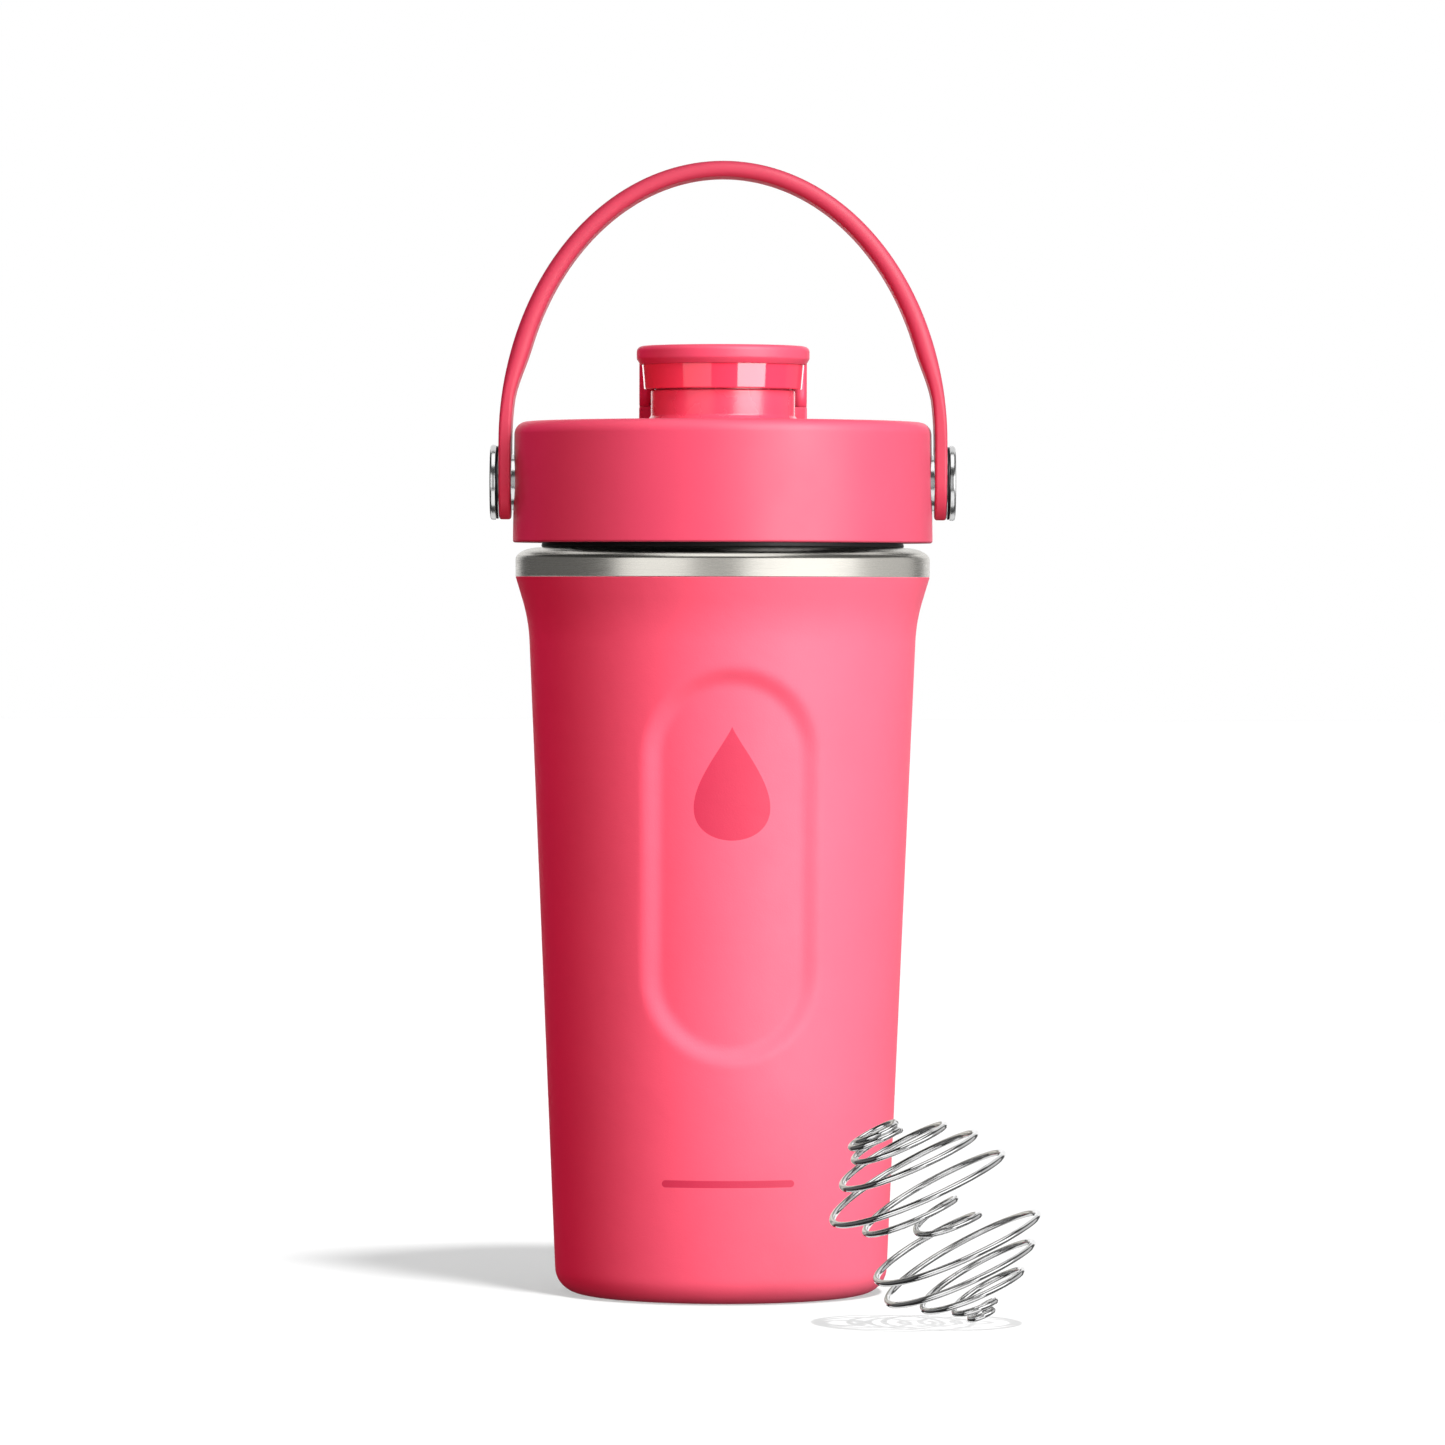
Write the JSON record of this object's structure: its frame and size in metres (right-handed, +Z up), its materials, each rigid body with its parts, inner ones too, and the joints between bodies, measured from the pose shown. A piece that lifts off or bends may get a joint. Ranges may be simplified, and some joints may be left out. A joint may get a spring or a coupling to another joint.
{
  "type": "protein shaker bottle",
  "caption": "Insulated steel shaker bottle with a screw lid, flip cap over a spout, swinging carry strap and loose coiled wire whisk.",
  "frame": {"origin": "on the bottle's axis, in the plane of the foot that it stands on", "axes": "+Z up along the bottle's axis, -Y the front with the grip recess and the cap's opening side, +X the bottle's right-hand strap pivot as seen from the front"},
  "size_m": [0.1275, 0.1514, 0.2668],
  "materials": {
    "shell_coat": "fine-textured powder coat",
    "rim_steel": "satin turned stainless steel",
    "polished_steel": "polished stainless steel",
    "lid_plastic": "fine-textured matte moulding",
    "spout_plastic": "glossy moulding",
    "liner_plastic": "matte moulding",
    "seal_rubber": "silicone rubber",
    "washer_plastic": "nylon",
    "strap_rubber": "soft-touch flexible strap"
  },
  "bodies": {
    "bottle": {"outer_shell": "shell_coat", "inner_vessel": "rim_steel", "base_disc": "shell_coat", "vacuum_plug": "seal_rubber", "getter_capsule": "rim_steel"},
    "gasket": {"mouth_gasket": "seal_rubber"},
    "lid": {"lid_shell": "lid_plastic", "lid_liner": "liner_plastic", "spout": "spout_plastic", "spout_ring": "seal_rubber", "hinge_pin": "polished_steel", "left_pivot_bush": "polished_steel", "left_pivot_washer": "washer_plastic", "left_pivot_cap": "polished_steel", "left_pivot_nut": "polished_steel", "right_pivot_bush": "polished_steel", "right_pivot_washer": "washer_plastic", "right_pivot_cap": "polished_steel", "right_pivot_nut": "polished_steel"},
    "cap": {"cap_cover": "lid_plastic", "cap_skirt": "spout_plastic", "cap_seal": "seal_rubber"},
    "strap": {"carry_strap": "strap_rubber"},
    "whisk": {"whisk_wire": "polished_steel"}
  },
  "joints": [
    {"name": "lid_rise", "type": "slide", "parent": "bottle", "child": "gasket", "axis": [0, 0, 1], "range_m": [0, 0.01]},
    {"name": "lid_turn", "type": "hinge", "parent": "gasket", "child": "lid", "pos_m": [0, 0, 0.191], "axis": [0, 0, 1], "range_deg": [0, 300]},
    {"name": "cap_flip", "type": "hinge", "parent": "lid", "child": "cap", "pos_m": [0, 0.024, 0.2125], "axis": [-1, 0, 0], "range_deg": [0, 120]},
    {"name": "handle_swing", "type": "hinge", "parent": "lid", "child": "strap", "pos_m": [0, 0, 0.1912], "axis": [1, 0, 0], "range_deg": [-115, 115]},
    {"name": "whisk_lift", "type": "slide", "parent": "bottle", "child": "whisk", "axis": [0.4, -0.5, 0.7681], "range_m": [0, 0.12]}
  ],
  "couplings": [
    {"joint": "lid_rise", "follows": "lid_turn", "m_per_rad": 0.0019099}
  ]
}
